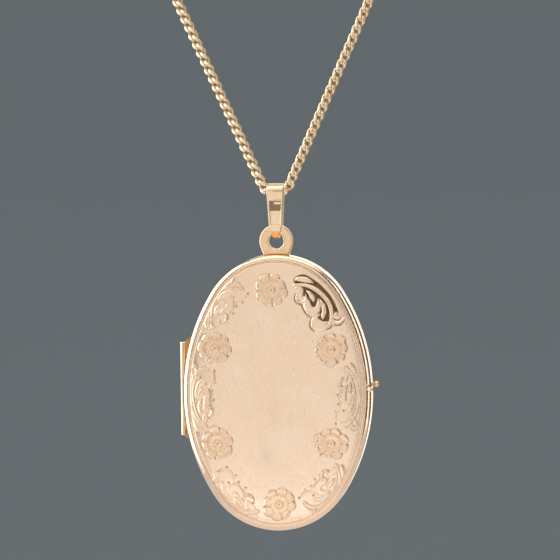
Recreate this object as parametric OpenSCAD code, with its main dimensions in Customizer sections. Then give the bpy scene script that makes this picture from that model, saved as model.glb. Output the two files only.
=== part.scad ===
// Oval two-cover locket on a curb chain, hanging from its bail.
// +X is the wearer's left as seen from the front, the front faces -Y, +Z is up.
// The origin is the middle of the bail's eye, where the chain carries it.

/* [Locket body] */
// Width of the oval
body_w = 27.7; // [26.6:0.1:28.2]
// Height of the oval
body_h = 40.4; // [39:0.1:42]
// Radius of the oval's top and bottom ends
end_r = 11.3; // [10.9:0.1:12]
// Depth of one cover, from the parting line to the middle of its dome
cover_d = 2.5; // [2.4:0.05:2.8]
// Thickness of a cover's side wall
wall_t = 0.74; // [0.7:0.02:0.76]

/* [Hinge] */
// Outer radius of the hinge knuckles
knuckle_r = 0.52; // [0.5:0.01:0.54]
// Radius of the hinge pin
pin_r = 0.22; // [0.18:0.01:0.26]
// Length of the whole row of knuckles
hinge_l = 13.6; // [12.6:0.1:14]
// Length of the middle knuckle
middle_l = 6.05; // [5:0.05:7]

/* [Hanging loop and bail] */
// Outer radius of the hanging loop
loop_r = 2.48; // [2.3:0.02:2.6]
// Radius of the loop's hole
loop_hole_r = 1.1; // [1.05:0.01:1.2]
// Thickness of the loop's plate
loop_t = 0.8; // [0.7:0.05:0.85]
// Width of the bail at the top
bail_w = 2.5; // [2.3:0.1:2.7]
// Inner radius of the bail's eye
eye_r = 0.9; // [0.85:0.01:0.95]
// Thickness of the bail's strap
strap_t = 0.3; // [0.25:0.01:0.32]

/* [Chain and clasp] */
// Diameter of the closed solid that stands for the chain
chain_d = 1; // [0.9:0.05:1]
// Radius of the clasp's circle, at the middle of its tube
clasp_r = 2.4; // [2.4:0.1:2.8]
// Radius of the hole in the tag that the clasp hooks into
tag_hole_r = 1.1; // [0.9:0.05:1.3]

/* [Hidden] */
$fn = 64;

// Places down the middle of the locket
loop_z = -7.2;
body_top_z = -9.15;
body_z = body_top_z - body_h / 2;
hinge_z = body_z + 0.6;
hinge_x = -body_w / 2 - 0.05;

// The oval is four arcs: two of side_r, centred side_x across the middle, and two of end_r
end_z = body_h / 2 - end_r;
side_r = (pow(body_w / 2, 2) + pow(end_z, 2) - pow(end_r, 2)) / (body_w - 2 * end_r);
side_x = side_r - body_w / 2;
join_angle = atan2(end_z, side_x);
arc_steps = 20;

// Gaps: half the parting line, round a knuckle of the other cover, and between knuckles
part_gap = 0.05;
knuckle_gap = 0.06;
pin_gap = 0.03;

// Depths of what lies in a cover, measured from the parting line
floor_d = 1.57;
frame_d = [0.72, 1.54];
flange_d = 0.98;
window_d = [1.00, 1.30];
photo_d = [1.32, 1.52];

// Insets from the oval of what lies in a cover
rim_inset = [wall_t + 0.06, 1.10];
frame_inset = [wall_t + 0.05, 1.06];
flange_inset = 1.75;
window_inset = 1.10;

// A cover from the parting line out to the middle of its dome, as [inset, depth]:
// side wall, rounded edge, border bead between two creases, then the low dome
function dome(d, drop) = [d, cover_d - drop];
cover_outside = [
    [0, part_gap], [0, 0.8], dome(0, 1.20), dome(0.02, 1.02), dome(0.09, 0.85),
    dome(0.22, 0.70), dome(0.40, 0.58), dome(0.60, 0.50), dome(0.80, 0.46),
    dome(0.88, 0.54), dome(0.98, 0.44), dome(1.08, 0.52), dome(1.30, 0.40),
    dome(2.4, 0.26), dome(4, 0.13), dome(6.5, 0.04), dome(9, 0),
];
cover_inside = [[wall_t, part_gap], [wall_t, 0.8], [wall_t, floor_d], [5, floor_d]];
scale_from = 4;

// The thumb nibs, one on each cover, set apart so that a nail fits between them
front_nib = [body_w / 2 - 0.2, -1.72, hinge_z - 0.15];
back_nib = [body_w / 2 + 0.5, 1, hinge_z + 0.45];
front_nib_r = 0.42;
back_nib_r = 0.45;

// Bail: the strap runs round the eye, down both sides and round its foot in the loop's hole
foot_in_r = 0.5;
foot_z = -6;
lean = asin((eye_r - foot_in_r) / -foot_z);
bail_outline = [
    [bail_w / 2, 2], [bail_w / 2, 0], [0.98, -4.8], [0.78, -5.7], [0.55, -6.1], [0.55, -7],
];

// Right half of the chain's route, as [x, z], from the eye up to its end
half_route = [
    [0, 0.15], [0.7, 0.16], [1.3, 0.22], [1.75, 0.62], [2.02, 1.15], [2.9, 3.1],
    [4.25, 6.1], [5.6, 9.1], [6.95, 12.1], [8.3, 15.1], [9.65, 18.1], [11, 21.1],
    [12.35, 24.1], [13.7, 27.1], [15.05, 30.1],
];
last = len(half_route) - 1;
route = concat(
    [for (i = [last : -1 : 1]) [-half_route[i][0], 0, half_route[i][1]]],
    [for (p = half_route) [p[0], 0, p[1]]]
);
run_angle = atan2(1.35, 3);

// Distances from a chain end along its run to the middles of the end ring and its fitting
ring_r = 1.05;
ring_wire_r = 0.25;
eyelet_r = 0.75;
eyelet_wire_r = 0.22;
ring_at = 1;
eyelet_at = ring_at + ring_r + 0.25;
clasp_tube_r = 0.6;
clasp_bore_r = 0.38;
clasp_at = eyelet_at + eyelet_r + clasp_r + clasp_tube_r;
tag_r = tag_hole_r + 0.9;
tag_t = 0.7;
tag_at = eyelet_at + eyelet_r + tag_r;

// Round the clasp: its mouth, how far the gate slides back, and the nub that moves it
mouth = [35, 85];
gate_travel = 56;
gate_r = clasp_bore_r - 0.04;
gate_arc = [30, 165];
nub_at = 97;
bore_end = 262;
spring_from = 226;
spring_turns = 5;

// ---- shared shapes ----

function arc(x, z, r, a0, a1) = [
    for (i = [0 : arc_steps - 1]) let (a = a0 + (a1 - a0) * i / arc_steps)
        [x + r * cos(a), z + r * sin(a)]
];
function offset_oval(d) = concat(
    arc(-side_x, 0, side_r - d, -join_angle, join_angle),
    arc(0, end_z, end_r - d, join_angle, 180 - join_angle),
    arc(side_x, 0, side_r - d, 180 - join_angle, 180 + join_angle),
    arc(0, -end_z, end_r - d, 180 + join_angle, 360 - join_angle)
);
// Past scale_from the oval shrinks in proportion, so that its ends stay round
function oval(d) = d <= scale_from ? offset_oval(d)
    : offset_oval(scale_from) * (body_w / 2 - d) / (body_w / 2 - scale_from);
function ring_at_depth(p) = [for (q = oval(p[0])) [q[0], -p[1], q[1] + body_z]];

// Faces between rings of n points, closed at both ends by a point in the middle
function skin_faces(n, rings) = concat(
    [for (i = [0 : n - 1]) [0, 1 + i, 1 + (i + 1) % n]],
    [for (r = [0 : rings - 2]) for (i = [0 : n - 1])
        let (a = 1 + r * n + i, b = 1 + r * n + (i + 1) % n) [a, a + n, b]],
    [for (r = [0 : rings - 2]) for (i = [0 : n - 1])
        let (a = 1 + r * n + i, b = 1 + r * n + (i + 1) % n) [b, a + n, b + n]],
    [for (i = [0 : n - 1])
        [1 + rings * n, 1 + (rings - 1) * n + (i + 1) % n, 1 + (rings - 1) * n + i]]
);

// A round cord through the middles of its rings
function unit(v) = v / norm(v);
function cord_ring(path, i, r, sides) =
    let (
        back = path[max(i - 1, 0)], ahead = path[min(i + 1, len(path) - 1)],
        along = unit(ahead - back), side = unit(cross(along, [0.02, 1, 0.01])),
        up = cross(side, along)
    )
    [for (k = [0 : sides - 1]) let (a = (k + 0.5) * 360 / sides)
        path[i] + r * cos(a) * side + r * sin(a) * up];
module cord(path, r, sides) {
    rings = [for (i = [0 : len(path) - 1]) each cord_ring(path, i, r, sides)];
    polyhedron(
        points = concat([path[0]], rings, [path[len(path) - 1]]),
        faces = skin_faces(sides, len(path))
    );
}

// One half of the shell: a domed oval pan, hollow towards the parting line
module pan() {
    inward = [for (i = [len(cover_inside) - 1 : -1 : 0]) cover_inside[i]];
    profile = concat(inward, cover_outside);
    rings = [for (p = profile) each ring_at_depth(p)];
    polyhedron(
        points = concat([[0, -floor_d, body_z]], rings, [[0, -cover_d, body_z]]),
        faces = skin_faces(4 * arc_steps, len(profile))
    );
}

// A flat oval plate between two insets and two depths; inner < outer leaves it whole
module plate(outer, inner, depth) {
    translate([0, -depth[0], body_z]) rotate([90, 0, 0])
        linear_extrude(depth[1] - depth[0]) difference() {
            polygon(oval(outer));
            if (inner > outer) polygon(oval(inner));
        }
}

module photo_frame() {
    union() {
        plate(frame_inset[0], frame_inset[1], frame_d);
        plate(frame_inset[0], flange_inset, [frame_d[0], flange_d]);
    }
}

// A cylinder along the hinge's axis, between two heights above its middle
module on_hinge(r, z0, z1) {
    translate([hinge_x, 0, hinge_z + z0]) cylinder(r = r, h = z1 - z0);
}

// Room for the middle knuckle, and for the outer two, with its own clearance each
module hinge_room(middle_room, outer_room) {
    on_hinge(knuckle_r + middle_room, -middle_l / 2, middle_l / 2);
    on_hinge(knuckle_r + outer_room, middle_l / 2, hinge_l / 2 + knuckle_gap);
    on_hinge(knuckle_r + outer_room, -hinge_l / 2 - knuckle_gap, -middle_l / 2);
}

module knuckle(z0, z1, bore_r) {
    difference() {
        on_hinge(knuckle_r, z0, z1);
        on_hinge(bore_r, z0 - 1, z1 + 1);
    }
}

// The two wedges that carry the straight hinge on the curved wall
module hinge_seat() {
    depth = knuckle_r - 0.07;
    reach = 2.2;
    wedge_l = 2.6;
    for (end = [1, -1])
        translate([0, -part_gap, hinge_z]) rotate([90, 0, 0]) linear_extrude(depth - part_gap)
            difference() {
                polygon([
                    [hinge_x, end * (hinge_l / 2 - wedge_l)], [hinge_x, end * hinge_l / 2],
                    [hinge_x + reach, end * (hinge_l / 2 + 1.6)],
                    [hinge_x + reach, end * (hinge_l / 2 - wedge_l)],
                ]);
                translate([0, body_z - hinge_z]) polygon(oval(0));
            }
}

module torus(middle_r, wire_r) {
    rotate_extrude() translate([middle_r, 0]) circle(r = wire_r);
}

// Puts its children on the left (-1) or right (1) run, at a distance past the chain's end
module on_run(side, distance) {
    translate([side * half_route[last][0], 0, half_route[last][1]])
        rotate([0, side * run_angle, 0]) translate([0, 0, distance])
            rotate([90, 0, 0]) children();
}

module clasp_arc(from, to) {
    rotate([0, 0, from]) rotate_extrude(angle = to - from)
        translate([clasp_r, 0]) children();
}

// ---- the chain and its fittings ----

module chain() {
    color([0.86, 0.66, 0.38]) cord(route, chain_d / 2, 8);
}

module left_end_ring() {
    color([0.88, 0.68, 0.42]) on_run(-1, ring_at) torus(ring_r, ring_wire_r);
}

module right_end_ring() {
    color([0.88, 0.68, 0.42]) on_run(1, ring_at) torus(ring_r, ring_wire_r);
}

module clasp_tag() {
    color([0.90, 0.72, 0.48]) union() {
        on_run(1, tag_at) difference() {
            cylinder(r = tag_r, h = tag_t, center = true);
            cylinder(r = tag_hole_r, h = 2 * tag_t, center = true);
        }
        on_run(1, eyelet_at) rotate([0, 90, 0]) torus(eyelet_r, eyelet_wire_r);
    }
}

module clasp_case() {
    color([0.90, 0.72, 0.48]) union() {
        on_run(-1, clasp_at) difference() {
            clasp_arc(mouth[1], mouth[0] + 360) circle(r = clasp_tube_r);
            clasp_arc(mouth[1] - 2, bore_end) circle(r = clasp_bore_r);
            clasp_arc(gate_arc[0] - 2, mouth[0] + 2) circle(r = clasp_bore_r);
            clasp_arc(mouth[1] - 2, nub_at + gate_travel + 7)
                translate([0, -0.23]) square([1, 0.46]);
        }
        on_run(-1, eyelet_at) rotate([0, 90, 0]) torus(eyelet_r, eyelet_wire_r);
    }
}

module clasp_spring() {
    step = (bore_end - 4 - spring_from) / (spring_turns - 1);
    color([0.78, 0.78, 0.76]) on_run(-1, clasp_at)
        for (i = [0 : spring_turns - 1])
            rotate([0, 0, spring_from + i * step]) translate([clasp_r, 0, 0])
                rotate([90, 0, 0]) torus(0.27, 0.07);
}

module clasp_gate() {
    color([0.90, 0.72, 0.48]) on_run(-1, clasp_at) union() {
        clasp_arc(gate_arc[0], gate_arc[1]) circle(r = gate_r);
        rotate([0, 0, nub_at]) translate([clasp_r, 0, 0]) rotate([0, 90, 0])
            cylinder(r = 0.18, h = 1.05);
    }
}

// ---- the bail ----

module strap_bend(z, inner_r, from, to) {
    overlap = 2;
    translate([-bail_w / 2, 0, z]) rotate([90, 0, 90]) rotate([0, 0, from - overlap])
        rotate_extrude(angle = to - from + 2 * overlap)
            translate([inner_r, 0]) square([strap_t, bail_w]);
}

// One leaf, from the top bend's end down to the foot's, leaning in by the angle between them
module strap_leaf() {
    length = -foot_z * cos(lean);
    rotate([-lean, 0, 0]) translate([-bail_w / 2, eye_r, -length])
        cube([bail_w, strap_t, length]);
}

module bail() {
    left_side = [for (i = [len(bail_outline) - 1 : -1 : 0])
        [-bail_outline[i][0], bail_outline[i][1]]];
    color([0.93, 0.77, 0.56]) intersection() {
        union() {
            strap_bend(0, eye_r, -lean, 180 + lean);
            strap_leaf();
            mirror([0, 1, 0]) strap_leaf();
            strap_bend(foot_z, foot_in_r, 180 + lean, 360 - lean);
        }
        translate([0, 3, 0]) rotate([90, 0, 0]) linear_extrude(6)
            polygon(concat(bail_outline, left_side));
    }
}

// ---- the back half ----

module back_cover() {
    color([0.91, 0.73, 0.50]) difference() {
        mirror([0, 1, 0]) pan();
        hinge_room(knuckle_gap, 0);
    }
}

module hanging_loop() {
    foot_w = 3.85;
    foot_h = 0.5;
    over_front = 0.12;
    color([0.94, 0.74, 0.52]) difference() {
        union() {
            hull() {
                translate([0, loop_t / 2, loop_z]) rotate([90, 0, 0])
                    cylinder(r = loop_r, h = loop_t);
                translate([-foot_w / 2, -loop_t / 2, body_top_z - foot_h])
                    cube([foot_w, loop_t, foot_h]);
            }
            translate([-foot_w / 2, -loop_t / 2, body_top_z - foot_h])
                cube([foot_w, loop_t / 2 + 1.15, 0.8]);
        }
        translate([0, 2, loop_z]) rotate([90, 0, 0]) cylinder(r = loop_hole_r, h = 4);
        translate([0, 2, body_z]) rotate([90, 0, 0]) linear_extrude(4) polygon(oval(0));
        translate([0, part_gap, body_z]) rotate([90, 0, 0]) linear_extrude(2)
            polygon(oval(-over_front));
    }
}

module back_hinge_seat() {
    color([0.93, 0.66, 0.36]) difference() {
        mirror([0, 1, 0]) hinge_seat();
        hinge_room(knuckle_gap, 0);
    }
}

module upper_hinge_knuckle() {
    color([0.92, 0.75, 0.52]) knuckle(middle_l / 2 + knuckle_gap, hinge_l / 2, pin_r);
}

module lower_hinge_knuckle() {
    color([0.92, 0.75, 0.52]) knuckle(-hinge_l / 2, -middle_l / 2 - knuckle_gap, pin_r);
}

module hinge_pin() {
    color([0.85, 0.70, 0.50]) on_hinge(pin_r, -hinge_l / 2, hinge_l / 2);
}

module back_thumb_nib() {
    color([0.90, 0.72, 0.50]) union() {
        translate(back_nib) sphere(r = back_nib_r);
        translate([body_w / 2 - 0.3, back_nib[1], back_nib[2]]) rotate([0, 90, 0])
            cylinder(r = 0.3, h = 0.8);
    }
}

module snap_rim() {
    color([0.90, 0.72, 0.48]) difference() {
        union() {
            plate(rim_inset[0], rim_inset[1], [-0.65, 0.5]);
            plate(wall_t, rim_inset[1], [-0.65, -0.1]);
        }
        translate([body_w / 2 - wall_t + 0.04, -0.3, hinge_z - 1])
            cylinder(r = 0.16, h = 2);
    }
}

module back_photo_frame() {
    color([0.92, 0.75, 0.52]) mirror([0, 1, 0]) photo_frame();
}

module back_window() {
    color([0.85, 0.90, 0.92, 0.5]) mirror([0, 1, 0]) plate(window_inset, 0, window_d);
}

module back_photo() {
    color([0.90, 0.88, 0.82]) mirror([0, 1, 0]) plate(window_inset, 0, photo_d);
}

// ---- the front half ----

module front_cover() {
    color([0.95, 0.79, 0.60]) difference() {
        pan();
        hinge_room(0, knuckle_gap);
    }
}

module front_hinge_seat() {
    color([0.93, 0.66, 0.36]) difference() {
        hinge_seat();
        hinge_room(0, knuckle_gap);
    }
}

module middle_hinge_knuckle() {
    color([0.92, 0.75, 0.52]) knuckle(-middle_l / 2, middle_l / 2, pin_r + pin_gap);
}

module front_thumb_nib() {
    color([0.95, 0.80, 0.58]) translate(front_nib) sphere(r = front_nib_r);
}

module catch_bead() {
    color([0.93, 0.76, 0.54]) intersection() {
        translate([body_w / 2 - wall_t + 0.04, -0.3, hinge_z - 0.8])
            cylinder(r = 0.12, h = 1.6);
        plate(wall_t, 0, [0, 1]);
    }
}

module front_photo_frame() {
    color([0.92, 0.75, 0.52]) photo_frame();
}

module front_window() {
    color([0.85, 0.90, 0.92, 0.5]) plate(window_inset, 0, window_d);
}

module front_photo() {
    color([0.90, 0.88, 0.82]) plate(window_inset, 0, photo_d);
}

chain();
left_end_ring();
right_end_ring();
clasp_tag();
clasp_case();
clasp_spring();
clasp_gate();
bail();
back_cover();
hanging_loop();
back_hinge_seat();
upper_hinge_knuckle();
lower_hinge_knuckle();
hinge_pin();
back_thumb_nib();
snap_rim();
back_photo_frame();
back_window();
back_photo();
front_cover();
front_hinge_seat();
middle_hinge_knuckle();
front_thumb_nib();
catch_bead();
front_photo_frame();
front_window();
front_photo();
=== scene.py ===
"""Looks of the oval locket: embossed covers, curb chain, folded bail, hinge and photo wells.

Shapes are worked out in millimetres, in the CAD model's frame: the origin is the
middle of the bail's eye, the front faces -Y and +Z is up.
"""
import math

import bmesh
import bpy
import numpy as np
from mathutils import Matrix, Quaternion, Vector


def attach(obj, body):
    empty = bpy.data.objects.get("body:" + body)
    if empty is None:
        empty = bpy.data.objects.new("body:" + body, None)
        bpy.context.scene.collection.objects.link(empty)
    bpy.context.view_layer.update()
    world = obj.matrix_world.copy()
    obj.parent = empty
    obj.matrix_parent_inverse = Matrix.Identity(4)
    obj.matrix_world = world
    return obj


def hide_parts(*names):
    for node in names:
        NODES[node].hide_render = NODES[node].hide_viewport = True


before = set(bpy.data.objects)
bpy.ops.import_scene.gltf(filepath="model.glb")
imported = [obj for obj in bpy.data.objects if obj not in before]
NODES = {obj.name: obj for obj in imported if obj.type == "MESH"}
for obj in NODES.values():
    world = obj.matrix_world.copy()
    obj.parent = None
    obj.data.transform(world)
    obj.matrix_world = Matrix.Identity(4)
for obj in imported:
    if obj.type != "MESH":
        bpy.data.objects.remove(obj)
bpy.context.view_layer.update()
MM = 0.001
TURN = 2 * math.pi

# ---- the CAD's driving sizes, in mm ----
BODY_W, BODY_H, END_R = 27.7, 40.4, 11.3
COVER_D, WALL_T, FLOOR_D, PART_GAP = 2.5, 0.74, 1.57, 0.05
BODY_TOP = -9.15
BODY_Z = BODY_TOP - BODY_H / 2
HINGE_X, HINGE_Z = -BODY_W / 2 - 0.05, BODY_Z + 0.6
KNUCKLE_R, KNUCKLE_GAP, HINGE_L = 0.52, 0.06, 13.6
LOOP_Z, LOOP_R, LOOP_HOLE_R, LOOP_T, FOOT_W = -7.2, 2.48, 1.1, 0.8, 3.85
BAIL_W, EYE_R, FOOT_R, FOOT_Z, STRAP_T = 2.5, 0.9, 0.5, -6.0, 0.3
FRONT_NIB, FRONT_NIB_R = (BODY_W / 2 - 0.2, -1.72, HINGE_Z - 0.15), 0.42
BACK_NIB, BACK_NIB_R = (BODY_W / 2 + 0.5, 1.0, HINGE_Z + 0.45), 0.45
END_Z = BODY_H / 2 - END_R
SIDE_R = ((BODY_W / 2) ** 2 + END_Z**2 - END_R**2) / (BODY_W - 2 * END_R)
SIDE_X = SIDE_R - BODY_W / 2
JOIN = math.atan2(END_Z, SIDE_X)
SCALE_FROM = 4.0


# ---- camera ----

def make_camera():
    """The view is a little from the locket's right and from above, and rolled a hair."""
    azimuth, elevation, roll = math.radians(5.5), math.radians(3), math.radians(0.7)
    view_w, distance, sensor = 81.8, 600.0, 36.0
    right = Vector((math.cos(azimuth), math.sin(azimuth), 0))
    level = Vector((math.sin(azimuth), -math.cos(azimuth), 0))
    away = level * math.cos(elevation) + Vector((0, 0, math.sin(elevation)))
    aim = right * 0.50 + away.cross(right) * -12.89
    data = bpy.data.cameras.new("camera")
    data.sensor_width = sensor
    data.lens = sensor * distance / view_w
    data.clip_start = 0.01
    camera = bpy.data.objects.new("camera", data)
    camera.location = (aim + away * distance) * MM
    camera.rotation_mode = "QUATERNION"
    camera.rotation_quaternion = away.to_track_quat("Z", "Y") @ Quaternion((0, 0, 1), -roll)
    bpy.context.scene.collection.objects.link(camera)
    bpy.context.scene.camera = camera


# ---- mesh helpers ----

def add_object(name, vertices, faces):
    mesh = bpy.data.meshes.new(name)
    mesh.from_pydata((np.asarray(vertices) * MM).tolist(), [], faces)
    edit = bmesh.new()
    edit.from_mesh(mesh)
    bmesh.ops.recalc_face_normals(edit, faces=edit.faces)
    edit.to_mesh(mesh)
    edit.free()
    mesh.shade_smooth()
    piece = bpy.data.objects.new(name, mesh)
    bpy.context.scene.collection.objects.link(piece)
    return piece


def grid_faces(rows, columns, close_rows=False, start=0):
    """Quads between rows of points; every row closes on itself."""
    top = rows if close_rows else rows - 1
    r, c = np.meshgrid(np.arange(top), np.arange(columns), indexing="ij")
    r2, c2 = (r + 1) % rows, (c + 1) % columns
    quads = np.stack([r * columns + c, r * columns + c2, r2 * columns + c2, r2 * columns + c], -1)
    return (quads.reshape(-1, 4) + start).tolist()


def fan(centre, first, columns):
    return [(centre, first + i, first + (i + 1) % columns) for i in range(columns)]


def skin(name, rings, first=None, last=None):
    """A closed skin over rings of points, with a middle point at each end; none makes a torus."""
    rings = np.asarray(rings, float)
    rows, columns = rings.shape[:2]
    vertices = rings.reshape(-1, 3)
    faces = grid_faces(rows, columns, close_rows=first is None)
    if first is not None:
        vertices = np.vstack([vertices, [first, last]])
        faces += fan(rows * columns, 0, columns)
        faces += fan(rows * columns + 1, (rows - 1) * columns, columns)
    return add_object(name, vertices, faces)


def lathe(name, profile, origin, axis, columns=48):
    """Turns a profile of [radius, height] about an axis; its two ends lie on the axis."""
    axis = np.array(Vector(axis).normalized())
    side = np.cross(axis, [0.3, 0.2, 0.9])
    side /= np.linalg.norm(side)
    other = np.cross(axis, side)
    angle = np.arange(columns) * TURN / columns
    around = np.cos(angle)[:, None] * side + np.sin(angle)[:, None] * other
    rings = [np.array(origin) + r * around + h * axis for r, h in profile[1:-1]]
    ends = [np.array(origin) + profile[i][1] * axis for i in (0, -1)]
    return skin(name, rings, *ends)


def smooth(points, steps=8):
    """A Catmull-Rom curve through the points."""
    p = np.asarray(points, float)
    p = np.vstack([2 * p[0] - p[1], p, 2 * p[-1] - p[-2]])
    t = np.arange(steps)[:, None] / steps
    spans = [
        0.5 * (2 * b + (c - a) * t + (2 * a - 5 * b + 4 * c - d) * t**2
               + (3 * b - a - 3 * c + d) * t**3)
        for a, b, c, d in zip(p, p[1:], p[2:], p[3:])
    ]
    return np.vstack(spans + [p[-2:-1]])


def add_weight(piece, name, values):
    layer = piece.data.attributes.new(name, "FLOAT", "POINT")
    layer.data.foreach_set("value", np.asarray(values, dtype=np.float32))


def bevel(piece, width, segments=3, angle=35):
    """Rounds the sharp edges of a piece, with its flat faces kept flat."""
    piece.data.shade_smooth()
    edge = piece.modifiers.new("edge", "BEVEL")
    edge.width = width * MM
    edge.segments = segments
    edge.limit_method = "ANGLE"
    edge.angle_limit = math.radians(angle)
    edge.harden_normals = True


# ---- the oval: four arcs, or the same in proportion past SCALE_FROM ----

def oval(inset, columns):
    """Points [x, z] of the oval at an inset, as one turn from +X."""
    per = columns // 4
    step = np.arange(per) / per
    reach = min(inset, SCALE_FROM)

    def arc(x, z, r, a0, a1):
        a = a0 + (a1 - a0) * step
        return np.stack([x + r * np.cos(a), z + r * np.sin(a)], 1)

    flat = math.pi
    points = np.vstack([
        arc(-SIDE_X, 0, SIDE_R - reach, -JOIN, JOIN),
        arc(0, END_Z, END_R - reach, JOIN, flat - JOIN),
        arc(SIDE_X, 0, SIDE_R - reach, flat - JOIN, flat + JOIN),
        arc(0, -END_Z, END_R - reach, flat + JOIN, TURN - JOIN),
    ])
    if inset > SCALE_FROM:
        points *= (BODY_W / 2 - inset) / (BODY_W / 2 - SCALE_FROM)
    return points


def oval_ring(inset, y, columns):
    points = oval(inset, columns)
    return np.stack([points[:, 0], np.full(len(points), y), points[:, 1] + BODY_Z], 1)


# ---- ornament: flowers and scrolled sprays round the border ----

# Middles of the six flowers, from the oval's middle
FLOWERS = [
    (-0.58, 15.14), (-9.00, 6.67), (8.11, 6.38), (-8.74, -7.30), (7.97, -7.39), (0.21, -16.24),
]
FLOWER_REACH = 3.0
# How deep the clefts between a flower's petals are, in turn
CLEFT_DEPTHS = np.array([0.95, 0.30, 0.60, 0.20, 0.75, 0.25, 0.50, 0.15])
# Each spray's start and end, how far it stands out, and its relief; the first is cut deep and dark
SPRAYS = [
    ((2.94, 15.84), (6.60, 9.15), 1.0, 1.0),
    ((10.20, 3.60), (9.30, -4.60), 0.70, 1.2),
    ((8.55, -10.70), (3.70, -15.90), 0.92, 1.3),
    ((-3.10, -17.30), (-8.10, -11.20), 0.92, 1.2),
    ((-10.43, -4.85), (-9.80, 3.50), 0.82, 1.6),
    ((-9.15, 9.78), (-4.60, 15.20), 0.92, 1.3),
]
# Soft smudges on the plain middle: place, reach across and up, and depth of tone
SMUDGES = [(-1.5, -9.4, 1.0, 1.7, 0.10), (-0.3, -2.2, 0.8, 3.6, 0.055), (2.6, 3.0, 1.6, 0.7, 0.03)]
# One spray, as [along, outward] from its start, on a chord of this length
CHORD = 7.63
STEM = [
    (-0.1, -0.1), (0.5, 0.9), (1.2, 1.7), (2.2, 2.35), (3.2, 2.75), (4.2, 2.95), (5.1, 2.95),
    (5.9, 2.75), (6.7, 2.3), (7.3, 1.7), (7.6, 0.9), (7.55, 0.3),
]
OUTER_HOLLOW = [
    (6.4, 3.15), (6.7, 3.6), (5.2, 3.8), (4.0, 3.8), (2.9, 3.6), (1.5, 3.2), (-0.1, 2.4),
    (-0.8, 1.8), (-1.05, 0.9), (-0.8, 0.1),
]
INNER_HOLLOW = [
    (7.0, 1.45), (6.8, 1.0), (6.3, 0.65), (5.75, 0.45), (5.5, 1.0), (5.0, 0.3), (4.4, -0.1),
    (3.6, -0.2), (3.0, -0.1), (2.2, 0.3), (1.9, 0.0), (1.2, -0.1), (0.3, -0.2),
]
# Closed leaves: their outline and height
LEAVES = [
    ([(-0.6, 0.2), (-0.85, 0.7), (-0.6, 1.4), (-0.1, 2.0), (0.7, 2.4), (1.1, 2.45), (0.7, 1.8),
      (0.1, 1.0)], 0.17),
    ([(0.2, -0.2), (0.3, 0.15), (0.8, 0.7), (1.4, 0.6), (1.9, 0.2), (2.0, -0.1),
      (1.4, -0.2)], 0.15),
    ([(1.5, 1.0), (1.9, 1.45), (2.7, 1.65), (3.3, 1.5), (3.5, 1.1), (2.9, 0.95), (2.3, 1.0)], 0.17),
    ([(3.5, 2.1), (4.1, 2.35), (4.7, 2.4), (5.3, 2.2), (5.9, 1.85), (6.4, 1.0), (5.8, 1.1),
      (5.1, 1.6), (4.3, 1.9)], 0.18),
    ([(1.8, 0.7), (2.4, 0.6), (3.0, 0.7), (3.6, 0.6), (4.1, 0.7), (4.2, 1.0), (3.9, 1.4),
      (3.4, 1.9), (4.0, 1.95), (4.6, 1.7), (5.1, 1.3), (5.25, 0.6), (5.2, 0.0), (4.6, -0.4),
      (3.8, -0.45), (3.1, -0.3), (2.7, 0.1), (2.2, 0.4)], 0.18),
]
# Curls: their line, half the width and the height
CURLS = [
    ([(1.35, -0.45), (1.7, -0.8), (2.2, -0.85), (2.6, -0.55), (2.75, -0.05),
      (2.5, 0.35)], 0.21, 0.15),
    ([(7.0, 2.2), (7.6, 2.35), (7.95, 2.9), (7.85, 3.5), (7.5, 3.75)], 0.20, 0.14),
    ([(6.6, 2.9), (6.9, 3.05), (7.3, 3.3)], 0.16, 0.12),
]
VOLUTE, VOLUTE_R = (6.65, 0.30), 1.25
# Fine cut lines beside the curls, the lobe and the volute
CUTS = [
    [(1.1, -0.55), (1.8, -1.08), (2.5, -1.05), (3.0, -0.62), (3.9, -0.68), (4.7, -0.6),
     (5.35, -0.25)],
    [(5.5, -0.4), (6.0, -0.85), (6.65, -1.05), (7.3, -0.85)],
    [(7.9, 0.8), (7.95, 1.4), (7.75, 2.0)],
    [(7.75, 2.05), (8.15, 2.5), (8.25, 3.1), (8.0, 3.75)],
    [(7.0, 2.5), (7.4, 2.75), (7.6, 3.2), (7.4, 3.6)],
]
# Pits along the faint sprays' cut lines, and the depths of tone that they take in turn
PITS = [
    (1.3, -0.4), (2.5, -0.8), (3.65, -1.1), (4.9, -0.8), (5.9, -1.15), (5.7, 0.5), (7.55, -0.9),
]
PIT_TONES = (0.95, 0.55, 0.75)


def along(points, line):
    """Distance from each point to a line, and how far along the line that is, from 0 to 1."""
    best = np.full(len(points), 1e9)
    where = np.zeros(len(points))
    steps = np.diff(line, axis=0)
    lengths = np.linalg.norm(steps, axis=1)
    before = np.concatenate([[0], np.cumsum(lengths)])
    for start, step, length, done in zip(line, steps, lengths, before):
        t = np.clip(((points - start) @ step) / length**2, 0, 1)
        gap = np.linalg.norm(points - start - t[:, None] * step, axis=1)
        closer = gap < best
        best[closer] = gap[closer]
        where[closer] = (done + t[closer] * length) / before[-1]
    return best, where


def inside(points, outline):
    """True for each point within a closed outline."""
    x, y = points.T
    result = np.zeros(len(points), bool)
    for (x0, y0), (x1, y1) in zip(outline, np.roll(outline, -1, 0)):
        crosses = (y0 > y) != (y1 > y)
        edge = x0 + (y - y0) * (x1 - x0) / (y1 - y0 + 1e-12)
        result ^= crosses & (x < edge)
    return result


def step_up(value, low, high):
    t = np.clip((value - low) / (high - low), 0, 1)
    return t * t * (3 - 2 * t)


def ridge(gap, half_width):
    """A round ridge, 1 at the middle and 0 past half_width."""
    return np.sqrt(np.clip(1 - (gap / np.maximum(half_width, 1e-6)) ** 2, 0, 1))


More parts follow.
